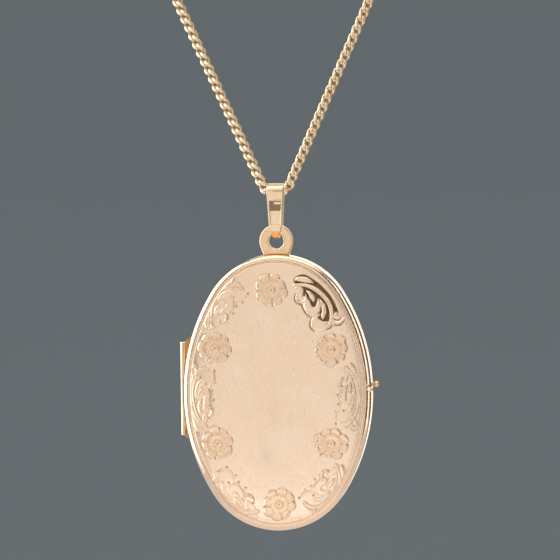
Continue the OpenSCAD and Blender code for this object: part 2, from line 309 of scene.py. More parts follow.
def pillow(points, outline, roll):
    """A rounded pad within an outline: 0 at its edge, 1 from roll inwards."""
    edge, _ = along(points, np.vstack([outline, outline[:1]]))
    rise = np.clip(edge / roll, 0, 1)
    return np.where(inside(points, outline), np.sqrt(1 - (1 - rise) ** 2), 0)


def grain(points, size):
    """Uneven bumps from -1 to 1, about one to each size."""
    x, y = (points * (TURN / size)).T
    return (
        np.cos(x + 0.9 * np.sin(0.43 * y)) * np.cos(0.94 * y + 1.1 * np.sin(0.37 * x))
        + 0.6 * np.cos(1.31 * x + 0.57 * y + 2.0) * np.cos(0.71 * x - 1.17 * y)
    ) / 1.3


def deep_spray(points):
    """Height in mm and hollow from 0 to 1 at points [along, outward] of the deep-cut spray."""
    stem = smooth(STEM)
    r = np.linalg.norm(points - np.array(VOLUTE), axis=1)
    height = 0.17 * ridge(r, VOLUTE_R) ** 0.7
    bare = np.ones(len(points))

    hollow = np.zeros(len(points))
    for outline, reach in ((OUTER_HOLLOW, 0.78), (INNER_HOLLOW, 0.86)):
        closed = np.vstack([stem[: int(len(stem) * reach)], smooth(outline)])
        edge, _ = along(points, np.vstack([closed, closed[:1]]))
        hollow = np.maximum(hollow, np.where(inside(points, closed), step_up(edge, 0.0, 0.14), 0))
    height = height * (1 - hollow) - 0.14 * hollow

    def raise_to(level, cover):
        nonlocal height, bare
        height = np.where(cover > 0, np.maximum(height, level), height)
        bare = np.minimum(bare, 1 - cover)

    gap, t = along(points, stem)
    half = 0.14 + 0.21 * np.sin(np.pi * np.clip(t * 1.1, 0, 1)) ** 0.8
    twin = ridge(np.abs(gap - half * 0.48), half * 0.52)
    raise_to(0.16 * np.maximum(twin, 0.45 * (gap < half * 0.5)), step_up(half - gap, -0.02, 0.04))
    for outline, top in LEAVES:
        pad = pillow(points, smooth(outline + outline[:1])[:-1], 0.22)
        raise_to(0.8 * top * pad, step_up(pad, 0.0, 0.45))
    for line, half_width, top in CURLS:
        gap, t = along(points, smooth(line))
        half = half_width * np.sin(np.pi * np.clip(0.15 + 0.75 * t, 0, 1)) ** 0.5
        raise_to(top * ridge(gap, half), step_up(half - gap, 0, 0.06))
    hollow = hollow * bare
    for line in CUTS:
        gap, t = along(points, smooth(line))
        cut = ridge(gap, 0.125 * np.sin(np.pi * np.clip(0.08 + 0.84 * t, 0, 1)) ** 0.5)
        height = np.where(cut > 0, np.minimum(height, -0.07 * cut), height)
        hollow = np.maximum(hollow, 0.95 * cut)
    return height, hollow


def faint_spray(points, relief):
    """The same spray pressed lightly: a twin-edged stem and low leaves, with pits and fine cuts."""
    gap, t = along(points, smooth(STEM))
    half = 0.15 + 0.17 * np.sin(np.pi * np.clip(t * 1.1, 0, 1)) ** 0.8
    height = np.maximum(0.075 * ridge(gap - half, 0.13), 0.035 * step_up(half - gap, 0, 0.08))
    beside = ridge(np.abs(gap - half - 0.15), 0.07)
    hollow = beside * (0.16 + 0.30 * step_up(t, 0.45, 0.62) * step_up(1 - t, 0.0, 0.1))
    r = np.linalg.norm(points - np.array(VOLUTE), axis=1)
    height = np.maximum(height, 0.030 * ridge(r, VOLUTE_R) ** 0.7)
    for outline, top in LEAVES:
        pad = pillow(points, smooth(outline + outline[:1])[:-1], 0.24)
        height = np.maximum(height, 0.34 * top * pad)
        hollow = np.maximum(hollow, 0.24 * ridge(np.abs(pad - 0.25), 0.25))
    for line, half_width, top in CURLS:
        gap, _ = along(points, smooth(line))
        height = np.maximum(height, 0.50 * top * ridge(gap, 0.8 * half_width))
        hollow = np.maximum(hollow, 0.22 * ridge(gap - half_width, 0.10))
    for line in CUTS:
        gap, t = along(points, smooth(line))
        cut = ridge(gap, 0.08 * np.sin(np.pi * np.clip(0.08 + 0.84 * t, 0, 1)) ** 0.5)
        height -= 0.030 * cut
        hollow = np.maximum(hollow, 0.32 * cut)
    for i, pit in enumerate(PITS):
        gap = points - np.array(pit)
        lean = 0.8 * math.cos(2.3 * i)
        gap = np.stack([gap[:, 0] + lean * gap[:, 1], gap[:, 1] - lean * gap[:, 0]], 1)
        deep = ridge(np.hypot(gap[:, 0], 1.7 * gap[:, 1]), 0.24)
        height -= 0.06 * deep / relief
        hollow = np.maximum(hollow, PIT_TONES[i % 3] * deep)
    return height * relief, hollow


def flower_relief(points, turn):
    """Height, hollow and warmth of a many-petalled, stippled flower with a ringed eye."""
    petals = 8
    r = np.linalg.norm(points, axis=1)
    a = (np.arctan2(points[:, 1], points[:, 0]) + turn) % TURN
    lobe = np.abs(np.cos(petals * a / 2))
    tuck = np.abs(np.sin(petals * a / 2))
    uneven = 0.13 * np.cos(2 * a + 5 * turn) + 0.08 * np.cos(5 * a - 3 * turn)
    edge = 2.08 + 0.36 * lobe**0.6 + uneven
    within = step_up(edge - r, 0.0, 0.14)
    petal = step_up(r, 0.70, 0.92) * within
    lip = np.exp(-(((r - edge + 0.26) / 0.17) ** 2)) * lobe**0.6
    inner = np.exp(-(((r - 1.32) / 0.17) ** 2)) * tuck**0.6
    stipple = grain(points + 7 * turn, 0.52)
    veins = np.cos(petals * 3 * a + 1.5 * np.sin(3.1 * r))
    height = within * (0.030 + 0.065 * lip + 0.040 * inner)
    height += petal * (0.017 * stipple + 0.007 * veins)
    ring = ridge(np.abs(r - 0.62), 0.15)
    dot = ridge(r, 0.17)
    height += 0.035 * ridge(r, 0.55) - 0.035 * ring - 0.050 * dot
    # Warmth is the petals' stippled orange tint, except that the lips are kept paler as a painted
    # highlight and a browner band lies inside them as painted shade.
    warmth = petal * (0.10 + 0.70 * np.clip(stipple, 0, 1) ** 0.8 + 0.12 * np.clip(veins, 0, 1))
    warmth += 0.20 * petal * np.exp(-(((r - 1.55) / 0.12) ** 2)) - 0.22 * petal * np.clip(lip, 0, 1)
    warmth = np.maximum.reduce([warmth, 0.80 * ring, 0.95 * dot, 0.40 * (r < 0.5)])
    cleft = np.floor(a * petals / TURN)
    middle = (cleft + 0.5) * TURN / petals
    depth = CLEFT_DEPTHS[cleft.astype(int) % petals]
    seam = np.exp(-(((a - middle) * r / 0.08) ** 2)) * step_up(r, 1.0, 1.4) * within
    small = np.exp(-(((r - 1.18 - 0.20 * tuck**0.7) / 0.07) ** 2))
    nick = ridge(np.hypot((r - edge + 0.02) / 0.26, (a - middle) * r / 0.12), 1.0)
    tone = 0.20 + 0.25 * np.cos(3 * a - 1.1 + turn)
    outline = tone * np.exp(-(((r - edge - 0.02) / 0.07) ** 2))
    hollow = np.maximum.reduce([depth * nick, outline, 0.16 * ring, 0.40 * dot])
    hollow = np.maximum.reduce([
        hollow, 0.18 * petal * np.clip(-stipple, 0, 1), 0.42 * depth**0.5 * seam, 0.24 * small,
    ])
    height -= 0.03 * seam + 0.02 * small
    height -= 0.05 * nick * depth
    return height, hollow, warmth


def ornament(points):
    """Height in mm, hollow and warmth from 0 to 1 at points [x, z] from the oval's middle."""
    height = np.zeros(len(points))
    hollow = np.zeros(len(points))
    warmth = np.zeros(len(points))
    for number, (start, end, outward, relief) in enumerate(SPRAYS):
        start, end = np.array(start), np.array(end)
        run = end - start
        chord = np.linalg.norm(run)
        u = run / chord
        n = np.array([-u[1], u[0]])
        local = points - start
        p = local @ u * CHORD / chord
        q = local @ n / outward
        near = (p > -1.5) & (p < 9) & (q > -1.5) & (q < 4.2)
        place = np.stack([p[near], q[near]], 1)
        up, down = deep_spray(place) if number == 0 else faint_spray(place, relief)
        warmth[near] = np.maximum(warmth[near], 0.10 * step_up(np.abs(up), 0.005, 0.03))
        height[near] += up
        hollow[near] = np.maximum(hollow[near], down)
    for i, middle in enumerate(FLOWERS):
        local = points - np.array(middle)
        near = np.linalg.norm(local, axis=1) < FLOWER_REACH
        up, down, warm = flower_relief(local[near], 0.3 + 0.61 * i)
        petal = up > 0
        height[near] = np.where(petal, up, height[near] + np.minimum(up, 0))
        hollow[near] = np.where(petal, down, np.maximum(hollow[near], down))
        warmth[near] = np.where(petal, warm, warmth[near])
    for x, z, across, upward, tone in SMUDGES:
        reach = ((points[:, 0] - x) / across) ** 2 + ((points[:, 1] - z) / upward) ** 2
        hollow = np.maximum(hollow, tone * np.exp(-reach))
    return height, hollow, warmth


# ---- the two covers ----

def dome_drop(inset):
    """How far the low dome lies under its middle."""
    low = 0.40 * np.clip(1 - (inset - 1.3) / 7.7, 0, 1) ** 2.4
    return low + 0.045 * np.exp(-(inset - 1.3) / 0.35)


def outside_profile(fine):
    """Outside of a cover as [inset, depth]: wall, rounded edge, bead between creases, dome."""
    wall = [(0.14, 0.05), (0.08, 0.12), (0.04, 0.22), (0.015, 0.34), (0, 0.48)]
    wall += [(0, d) for d in (0.6, 0.8, 1.0, 1.15)]
    edge = smooth([
        (0, 1.30), (0.02, 1.48), (0.09, 1.65), (0.22, 1.80), (0.40, 1.92), (0.60, 2.00),
        (0.77, 2.045),
    ], 4)
    bead = [
        (0.80, 2.03), (0.84, 1.97), (0.88, 1.95), (0.91, 1.99), (0.94, 2.04), (0.98, 2.06),
        (1.02, 2.04), (1.05, 1.99), (1.08, 1.97), (1.12, 2.01), (1.18, 2.07),
    ]
    insets = np.concatenate([np.arange(1.3, 7.4, fine), np.linspace(7.4, 13.3, 14)])
    dome = [(d, COVER_D - dome_drop(d)) for d in insets]
    return wall + [tuple(p) for p in edge[1:]] + bead + dome


def clear_of_hinge(vertices):
    """Moves the points of a cover that lie within its knuckles' room out to that room's wall."""
    height = np.abs(vertices[:, 2] - HINGE_Z)
    offset = vertices[:, :2] - np.array([HINGE_X, 0])
    gap = np.linalg.norm(offset, axis=1)
    room = np.where(height < HINGE_L / 2 + KNUCKLE_GAP, KNUCKLE_R + KNUCKLE_GAP, 0)
    push = (gap < room) & (gap > 1e-6)
    scale = np.where(push, room / np.maximum(gap, 1e-6), 1)
    vertices[:, :2] = np.array([HINGE_X, 0]) + offset * scale[:, None]
    return vertices


def cover(name, side, ornate, columns, fine):
    """One half of the shell; side is -1 for the front and 1 for the back."""
    parting = [(d, PART_GAP) for d in (WALL_T, 0.62, 0.5, 0.38, 0.26, 0.20)]
    floor = [(12.5, FLOOR_D), (9, FLOOR_D), (5, FLOOR_D), (2, FLOOR_D), (0.82, FLOOR_D)]
    inner_wall = [(0.76, 1.55), (WALL_T, 1.5), (WALL_T, 0.8), (WALL_T, 0.2), (WALL_T, 0.08)]
    outside = outside_profile(fine)
    profile = floor + inner_wall + parting + outside
    rings = np.stack([oval_ring(d, side * depth, columns) for d, depth in profile])
    first_out = len(profile) - len(outside)
    face = np.zeros(rings.shape[:2], bool)
    face[first_out:] = np.array([d >= 1.2 for d, _ in outside])[:, None]
    hollow = np.zeros(rings.shape[:2])
    polish = np.zeros(rings.shape[:2])
    # Painted shade: the two creases beside the bead are darkened; on the front more towards the
    # upper right than the lower left, on the back evenly.
    toward_upper_right = oval(0, columns) @ np.array([math.cos(1.1), math.sin(1.1)]) / (BODY_H / 2)
    tone = 0.15 + 0.60 * step_up(toward_upper_right, -0.3, 0.6) if ornate else 0.5
    for row, (d, depth) in enumerate(outside, first_out):
        polish[row] = 1 - step_up(np.array([d]), 0.9, 1.3)[0]
        crease = max(0, 1 - abs(d - 0.88) / 0.05) + max(0, 1 - abs(d - 1.08) / 0.05)
        # Painted shade: the outer wall is darkened near the parting gap between the two covers.
        parting_gap_shade = 0.55 * step_up(0.45 - depth, 0, 0.35) * (d < 0.3)
        hollow[row] = np.maximum(tone * crease, parting_gap_shade)
    warmth = np.zeros(rings.shape[:2])
    if ornate:
        flat = rings[face]
        height, dark, warm = ornament(flat[:, [0, 2]] - np.array([0, BODY_Z]))
        rings[face, 1] += side * height
        hollow[face] = np.maximum(hollow[face], dark)
        warmth[face] = warm
        # The slot above the front nib is a shallow dip, darkened with painted shadow.
        nib = np.linalg.norm(rings[..., [0, 2]] - np.array(FRONT_NIB)[[0, 2]], axis=2)
        above = (rings[..., 2] > FRONT_NIB[2] + 0.1) & (rings[..., 1] < -1.2)
        slot = ridge(np.abs(nib - 0.56), 0.13) * above
        rings[..., 1] -= side * 0.10 * slot
        hollow = np.maximum(hollow, 0.8 * slot)
    points = clear_of_hinge(rings.reshape(-1, 3)).reshape(rings.shape)
    ends = [(0, side * FLOOR_D, BODY_Z), (0, side * COVER_D, BODY_Z)]
    piece = skin(name, points, *ends)
    add_weight(piece, "hollow", np.append(hollow.ravel(), [0, 0]))
    add_weight(piece, "polish", np.append(polish.ravel(), [0, 0]))
    add_weight(piece, "warmth", np.append(warmth.ravel(), [0, 0]))
    return piece


def oval_loft(name, profile, side, columns=320):
    """A ring of any section: profile is a closed loop of [inset, depth]."""
    return skin(name, [oval_ring(d, side * depth, columns) for d, depth in profile])


# ---- chain ----

HALF_ROUTE = [
    (0, 0.15), (0.7, 0.16), (1.3, 0.22), (1.75, 0.62), (2.02, 1.15), (2.9, 3.1),
    (4.25, 6.1), (5.6, 9.1), (6.95, 12.1), (8.3, 15.1), (9.65, 18.1), (11, 21.1),
    (12.35, 24.1), (13.7, 27.1), (15.05, 30.1),
]
ROUTE = [(-x, 0.0, z) for x, z in HALF_ROUTE[::-1]] + [(x, 0.0, z) for x, z in HALF_ROUTE[1:]]
LINK_PITCH, LINK_W, LINK_WIRE = 1.36, 1.47, 0.49
LINK_ROLL = math.radians(26)


def curb_link(steps=36, sides=9):
    """One curb link along X as rings round its wire: a long oval, twisted and filed flat."""
    t = np.arange(steps) * TURN / steps
    half_l, half_w, lift, twist, filed = 0.935, (LINK_W - LINK_WIRE) / 2, -0.30, -0.55, 0.52
    x = half_l * np.cos(t)
    across = half_w * np.sin(t)
    turn = twist * np.cos(t)
    line = np.stack([x, across * np.cos(turn), across * np.sin(turn) + lift * np.sin(2 * t)], 1)
    ahead = np.roll(line, -1, 0) - np.roll(line, 1, 0)
    ahead /= np.linalg.norm(ahead, axis=1)[:, None]
    side = np.cross(ahead, [0, 0, 1])
    side /= np.linalg.norm(side, axis=1)[:, None]
    up = np.cross(side, ahead)
    rings = []
    for k in range(sides):
        a = TURN * k / sides
        rings.append(line + LINK_WIRE / 2 * (math.cos(a) * side + math.sin(a) * up))
    link = np.stack(rings, 1)
    link[..., 2] = np.clip(link[..., 2], -filed, filed)
    return link


def make_chain():
    """Links laid along the route, each facing as the route runs a little before and behind it."""
    line = np.array(ROUTE)
    reach = 0.8
    steps = np.linalg.norm(np.diff(line, axis=0), axis=1)
    done = np.concatenate([[0], np.cumsum(steps)])
    length = done[-1]
    count = int(length / LINK_PITCH)
    link = curb_link()
    rows, columns = link.shape[:2]
    vertices, faces = [], []
    for i in range(count):
        s = (i + 0.5) * length / count
        middle = [np.interp(s, done, line[:, k]) for k in range(3)]
        behind = [np.interp(s - reach, done, line[:, k]) for k in range(3)]
        before = [np.interp(s + reach, done, line[:, k]) for k in range(3)]
        tangent = np.array(before) - np.array(behind)
        tangent /= np.linalg.norm(tangent)
        level = np.cross([0, 1, 0], tangent)
        wide = math.cos(LINK_ROLL) * level + math.sin(LINK_ROLL) * np.array([0, 1, 0])
        thick = np.cross(tangent, wide)
        place = np.stack([tangent, wide, thick])
        faces += grid_faces(rows, columns, close_rows=True, start=len(vertices) * rows * columns)
        vertices.append((link @ place + middle).reshape(-1, 3))
    chain = add_object("curb_chain", np.vstack(vertices), faces)
    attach(chain, "necklace")
    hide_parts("chain")
    return chain


# ---- bail ----

def bail_half_width(z):
    """The strap tapers from the eye to its foot."""
    heights = [-7, -6.1, -5.7, -4.8, 0, 2]
    return np.interp(z, heights, [0.55, 0.55, 0.78, 0.98, BAIL_W / 2, BAIL_W / 2])


def bail_line():
    """The strap's inner side as [y, z] with the way out from it, once round."""
    lean = math.asin((EYE_R - FOOT_R) / -FOOT_Z)
    stations = []
    for a in np.linspace(-lean, math.pi + lean, 36):
        out = np.array([math.cos(a), math.sin(a)])
        stations.append((EYE_R * out, out))
    for part in np.linspace(0, 1, 90)[1:-1]:
        out = np.array([-math.cos(lean), -math.sin(lean)])
        foot = np.array([0, FOOT_Z]) + FOOT_R * out
        stations.append(((1 - part) * EYE_R * out + part * foot, out))
    for a in np.linspace(math.pi + lean, TURN - lean, 20):
        out = np.array([math.cos(a), math.sin(a)])
        stations.append((np.array([0, FOOT_Z]) + FOOT_R * out, out))
    for part in (0.1, 0.2, 0.3, 0.4, 0.5, 0.6, 0.7, 0.8, 0.9):
        out = np.array([math.cos(lean), -math.sin(lean)])
        foot = np.array([0, FOOT_Z]) + FOOT_R * out
        stations.append(((1 - part) * foot + part * EYE_R * out, out))
    return stations


def make_bail():
    """A folded strap with raised borders round a sunk panel, creased where it meets the eye."""
    border, sunk = 0.30, 0.05
    panel_z, reflection_z = (-4.72, 0.95), (-2.70, -1.30)
    crease_z, line_z, tip_z, thin = 0.13, -1.14, -5.66, 0.06
    rings, dark, warm = [], [], []
    for (y, z), out in bail_line():
        w = float(bail_half_width(z))
        inner = max(w - border, 0.05)
        front = out[0] < -0.5
        crease = math.exp(-(((z - crease_z) / thin) ** 2)) if front else 0
        lift = STRAP_T - 0.08 * crease
        sink = sunk * step_up(z, panel_z[0] - 0.12, panel_z[0]) * (1 - step_up(z, *panel_z))
        half = [(w, 0.04), (w, lift - 0.12), (w - 0.03, lift - 0.05), (w - 0.09, lift - 0.01),
                (inner + 0.05, lift), (inner + 0.01, lift - 0.01), (inner - 0.04, lift - sink)]
        flat = [(inner * k, lift - sink) for k in (-0.8, -0.6, -0.4, -0.2, 0, 0.2, 0.4, 0.6, 0.8)]
        left = [(-x, n) for x, n in half]
        section = left + flat + half[::-1] + [(w - 0.04, 0), (0, 0), (-w + 0.04, 0)]
        rings.append([(x, y + n * out[0], z + n * out[1]) for x, n in section])
        # Painted reflection: a dark band across the panel, with a light gap at its upper right,
        # stands for a dark reflection in the strap.
        reflection_patch = step_up(z, reflection_z[0] - 0.08, reflection_z[0])
        reflection_patch *= 1 - step_up(z, reflection_z[1], reflection_z[1] + 0.08)
        for x, n in section:
            panel = front and abs(x) <= inner - 0.03 and n > 0.1
            lit = step_up(x, -0.25, -0.05) * step_up(z, -1.85, -1.72) * step_up(-1.40 - z, 0, 0.06)
            # Painted shade: the crease at the eye is darkened, more on its right than its left, and
            # a thin line of it lies at the panel's lower step; a thin dark slanting line also
            # crosses the panel.
            mark = 0.92 * reflection_patch * (1 - lit) * panel + crease * (0.9 if x > -0.2 else 0.25)
            slant = z - line_z - 0.08 * x
            mark += 0.5 * math.exp(-((slant / thin) ** 2)) * panel * (x > -0.35)
            mark += 0.3 * math.exp(-(((z - panel_z[0]) / thin) ** 2)) * panel
            dark.append(min(mark, 1))
            # Painted reflection: past the foot's tip the strap turns orange on its underside, for
            # the gold ring reflected there.
            warm.append(step_up(tip_z - z, 0, 0.14) * (out[0] < 0.4))
    piece = skin("folded_bail", rings)
    add_weight(piece, "hollow", dark)
    add_weight(piece, "warmth", warm)
    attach(piece, "bail")
    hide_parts("bail")
    return piece


def make_loop():
    """A flat ring with rounded edges, flaring into the foot soldered on the back cover."""
    corner = np.array([FOOT_W / 2, BODY_TOP - LOOP_Z])
    turn_in = math.atan2(corner[1], corner[0])
    lean = turn_in + math.acos(LOOP_R / np.hypot(*corner))
    t, h, columns = LOOP_T / 2, LOOP_HOLE_R, 144
    rings, warm = [], []
    for a in np.arange(columns) * TURN / columns - TURN / 4:
        across, up = abs(math.cos(a)), math.sin(a)
        side = math.atan2(up, across)
        reach, landed = LOOP_R, False
        if side < lean:
            flare = FOOT_W / 2 / max(across, 1e-6)
            if side > turn_in:
                flare = LOOP_R / math.cos(side - lean)
            x = -corner[1] / -up * across
            body = (x**2 / (2 * END_R) - corner[1]) / -up
            reach, landed = min(flare, body), body < flare
        o, front, e = (reach + 0.03, reach - 0.12, 0.0) if landed else (reach, reach, 1.0)
        section = [
            (h, t - 0.13), (h, 0.13 - t), (h + 0.04, 0.04 - t), (h + 0.13, -t), (front - 0.26, -t),
            (front - 0.12 * e, 0.035 * e - t), (front - 0.035 * e, 0.12 * e - t),
            (front, 0.26 * e - t), (front, 0.04), (o, 0.06), (o, t - 0.26 * e),
            (o - 0.035 * e, t - 0.12 * e), (o - 0.12 * e, t - 0.035 * e), (o - 0.26, t),
            (h + 0.13, t), (h + 0.04, t - 0.04),
        ]
        rings.append([(r * math.cos(a), y, LOOP_Z + r * up) for r, y in section])
        warm += [0.6 * step_up(-1.50 - r * up, 0, 0.30) for r, y in section]
    rings = np.array(rings)
    rows, columns = rings.shape[:2]
    low, high = BODY_TOP - 0.2, BODY_TOP + 0.3
    x = FOOT_W / 2
    block = [(i, j, k) for k in (low, high) for j in (0.3, 1.15) for i in (-x, x)]
    sides = ((0, 2, 3, 1), (4, 5, 7, 6), (0, 1, 5, 4), (2, 6, 7, 3), (0, 4, 6, 2), (1, 3, 7, 5))
    faces = grid_faces(rows, columns, close_rows=True)
    faces += [tuple(rows * columns + i for i in quad) for quad in sides]
    piece = add_object("flat_hanging_loop", np.vstack([rings.reshape(-1, 3), block]), faces)
    add_weight(piece, "warmth", warm + [0.5] * len(block))
    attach(piece, "back_half")
    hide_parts("hanging_loop")
    bevel(piece, 0.07, angle=60)
    return piece


# ---- materials ----

class Graph:
    """A short way to write a material's nodes."""

    def __init__(self, name):
        self.material = bpy.data.materials.new(name)
        self.material.use_nodes = True
        self.tree = self.material.node_tree
        self.shader = self.tree.nodes["Principled BSDF"]
        self.place = self.add("ShaderNodeTexCoord").outputs["Object"]

    def add(self, kind, **settings):
        node = self.tree.nodes.new(kind)
        for key, value in settings.items():
            if hasattr(node, key):
                setattr(node, key, value)
            else:
                node.inputs[key].default_value = value
        return node

    def link(self, source, target):
        self.tree.links.new(source, target)

    def noise(self, scale, detail=3.0, roughness=0.5, stretch=(1, 1, 1), distortion=0.0, turn=0.0):
        """Noise with scale in cells per metre, stretched along axes turned about Y."""
        mapping = self.add("ShaderNodeMapping", vector_type="TEXTURE")
        mapping.inputs["Rotation"].default_value = (0, turn, 0)
        mapping.inputs["Scale"].default_value = [1 / (scale * s) for s in stretch]
        self.link(self.place, mapping.inputs["Vector"])
        node = self.add("ShaderNodeTexNoise", Scale=1.0, Detail=detail, Roughness=roughness,
                        Distortion=distortion)
        self.link(mapping.outputs["Vector"], node.inputs["Vector"])
        return node.outputs["Fac"]

    def spread(self, value, low, high, to_low=0.0, to_high=1.0):
        """A value from low to high, brought evenly to the range asked for and kept within it."""
        ends = {"From Min": low, "From Max": high, "To Min": to_low, "To Max": to_high}
        node = self.add("ShaderNodeMapRange")
        for key, number in ends.items():
            node.inputs[key].default_value = number
        self.link(value, node.inputs["Value"])
        return node.outputs["Result"]

    def maths(self, operation, first, second):
        node = self.add("ShaderNodeMath", operation=operation)
        for socket, value in zip(node.inputs, (first, second)):
            if isinstance(value, (int, float)):
                socket.default_value = value
            else:
                self.link(value, socket)
        return node.outputs[0]

    def blend(self, amount, first, second):
        """A colour between two; each is a socket or an RGB tuple."""
        node = self.add("ShaderNodeMix", data_type="RGBA")
        self.link(amount, node.inputs["Factor"])
        for name, value in (("A", first), ("B", second)):
            socket = [s for s in node.inputs if s.name == name and s.type == "RGBA"][0]
            if isinstance(value, tuple):
                socket.default_value = (*value, 1)
            else:
                self.link(value, socket)
        return [s for s in node.outputs if s.type == "RGBA"][0]

    def weight(self, name):
        return self.add("ShaderNodeAttribute", attribute_name=name).outputs["Fac"]

    def bump(self, height, distance, strength=1.0, under=None):
        node = self.add("ShaderNodeBump", Strength=strength, Distance=distance)
        self.link(height, node.inputs["Height"])
        if under is not None:
            self.link(under, node.inputs["Normal"])
        return node.outputs["Normal"]

    def finish(self, **sockets):
        for name, value in sockets.items():
            socket = self.shader.inputs[name.replace("_", " ")]
            if hasattr(value, "links"):
                self.link(value, socket)
            else:
                socket.default_value = value
        return self.material


def gold(name, colour, shade, rough, hollows=None, scratches=0.0, polished=None, warm=None,
         hinge_wall_shade=None):
    """Worn gold: slow shifts of tint, smudged satin or polish, fine scratches and dark hollows; the
    hollow colour is patina in sunk ornament and painted shade in creases and gaps, and the tint
    near the hinge wall is painted shade.
    """
    g = Graph(name)
    tint = g.spread(g.noise(260, 4, 0.6), 0.35, 0.68)
    surface = g.blend(tint, colour, shade)
    if warm is not None:
        surface = g.blend(g.maths("MULTIPLY", g.weight("warmth"), 0.8), surface, warm)
    # Painted shade: a darker orange towards the cover wall, standing for light passed back and
    # forth between knuckle and wall.
    if hinge_wall_shade is not None:
        side = g.add("ShaderNodeSeparateXYZ")
        g.link(g.place, side.inputs[0])
        near = g.spread(side.outputs["X"], (HINGE_X - 0.02) * MM, (HINGE_X + 0.30) * MM)
        surface = g.blend(near, surface, hinge_wall_shade)
    smudge = g.spread(g.noise(700, 5, 0.65, distortion=0.6), 0.35, 0.70, -0.04, 0.07)
    level = g.maths("ADD", rough, smudge)
    if polished is not None:
        finish = g.weight("polish")
        drop = g.maths("MULTIPLY", finish, rough - polished)
        level = g.maths("SUBTRACT", level, drop)
    if hollows is not None:
        dark = g.weight("hollow")
        grit = g.spread(g.noise(9000, 2), 0.30, 0.62, 0.78, 1.0)
        amount = g.maths("MULTIPLY", dark, grit)
        surface = g.blend(amount, surface, hollows)
        level = g.maths("ADD", level, g.maths("MULTIPLY", dark, 0.25))
    normal = g.bump(g.noise(2600, 3), 0.000004)
    if scratches:
        for turn in (0.12, 1.33, 2.25):
            line = g.noise(150, 2, 0.5, stretch=(1, 1, 42), distortion=0.05, turn=turn)
            line = g.spread(line, 0.665, 0.70)
            normal = g.bump(line, 0.000006 * scratches, under=normal)
            level = g.maths("ADD", level, g.maths("MULTIPLY", line, 0.06 * scratches))
    g.finish(Base_Color=surface, Metallic=1.0, Roughness=level, Normal=normal)
    return g.material


def steel(name):
    g = Graph(name)
    tint = g.spread(g.noise(900, 3), 0.3, 0.7)
    surface = g.blend(tint, (0.52, 0.52, 0.50), (0.36, 0.35, 0.33))
    level = g.spread(g.noise(4000, 3), 0.3, 0.7, 0.22, 0.40)
    g.finish(Base_Color=surface, Metallic=1.0, Roughness=level)
    return g.material


def paper(name):
    """Blank ivory card with fibres and a little age towards the darker blotches."""
    g = Graph(name)
    age = g.spread(g.noise(120, 5, 0.6), 0.35, 0.75)
    surface = g.blend(age, (0.80, 0.76, 0.66), (0.66, 0.60, 0.48))
    fibre = g.noise(3800, 4, 0.7, stretch=(1, 1, 3))
    g.finish(Base_Color=surface, Roughness=g.spread(fibre, 0.2, 0.8, 0.75, 0.92),
             Normal=g.bump(fibre, 0.00002))
    return g.material


def clear(name):
    """A thin clear window with faint scuffs."""
    g = Graph(name)
    scuff = g.spread(g.noise(700, 3, 0.5, stretch=(1, 1, 14)), 0.62, 0.72, 0.02, 0.10)
    g.finish(Base_Color=(0.97, 0.98, 0.98, 1), Roughness=scuff, IOR=1.46, Transmission_Weight=1.0)
    return g.material


def dress(piece, material):
    piece.data.materials.clear()
    piece.data.materials.append(material)


# ---- build ----

make_camera()
chain = make_chain()

# The face's hollow colour is patina and tarnish in the ornament and smudges, and painted shade in
# the creases, parting gap and nib slot; the back's is painted shade in its creases and parting gap
# only.
FACE = gold("satin_rose_gold", (0.93, 0.69, 0.50), (0.90, 0.65, 0.45), 0.25,
            hollows=(0.085, 0.045, 0.016), scratches=0.8, polished=0.11, warm=(0.84, 0.43, 0.17))
BACK = gold("satin_gold", (0.91, 0.67, 0.44), (0.86, 0.61, 0.37), 0.24, hollows=(0.30, 0.17, 0.07),
            scratches=0.7, polished=0.13)
FITTING = gold("polished_gold", (0.92, 0.68, 0.44), (0.90, 0.64, 0.38), 0.14, scratches=0.5)
# The hinge's darker orange towards the cover wall is painted interreflection shade.
HINGE = gold("hinge_gold", (0.92, 0.70, 0.48), (0.90, 0.66, 0.42), 0.14, hinge_wall_shade=(0.66, 0.36, 0.13))
# On the strap, the hollow colour is painted reflection and shade, and the warm colour is a painted
# orange reflection at the foot.
STRAP = gold("strap_gold", (0.93, 0.69, 0.45), (0.90, 0.65, 0.40), 0.16, hollows=(0.16, 0.10, 0.05),
             scratches=0.6, warm=(0.90, 0.42, 0.10))
LOOP = gold("brushed_gold", (0.91, 0.63, 0.39), (0.87, 0.58, 0.33), 0.24, scratches=0.8,
            warm=(0.80, 0.42, 0.14))
# The hinge seats take a darker orange gold as painted shade, for plates that face away from the
# light.
SHADED_SEAT = gold("shaded_seat_gold", (0.56, 0.28, 0.10), (0.42, 0.19, 0.06), 0.22)
INNER = gold("inner_gold", (0.90, 0.66, 0.42), (0.84, 0.58, 0.33), 0.18, scratches=0.6)
LINKS = gold("chain_gold", (0.97, 0.77, 0.51), (0.94, 0.69, 0.41), 0.20, scratches=0.3)

dress(chain, LINKS)
for node in ("left_end_ring", "right_end_ring", "clasp_tag", "clasp_case", "clasp_gate"):
    dress(NODES[node], LINKS)
    bevel(NODES[node], 0.05)
dress(NODES["clasp_spring"], steel("spring_steel"))

dress(make_bail(), STRAP)

front = cover("embossed_front_cover", -1, True, 800, 0.10)
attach(front, "front_half")
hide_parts("front_cover")
dress(front, FACE)

back = cover("plain_back_cover", 1, False, 400, 0.5)
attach(back, "back_half")
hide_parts("back_cover")
dress(back, BACK)

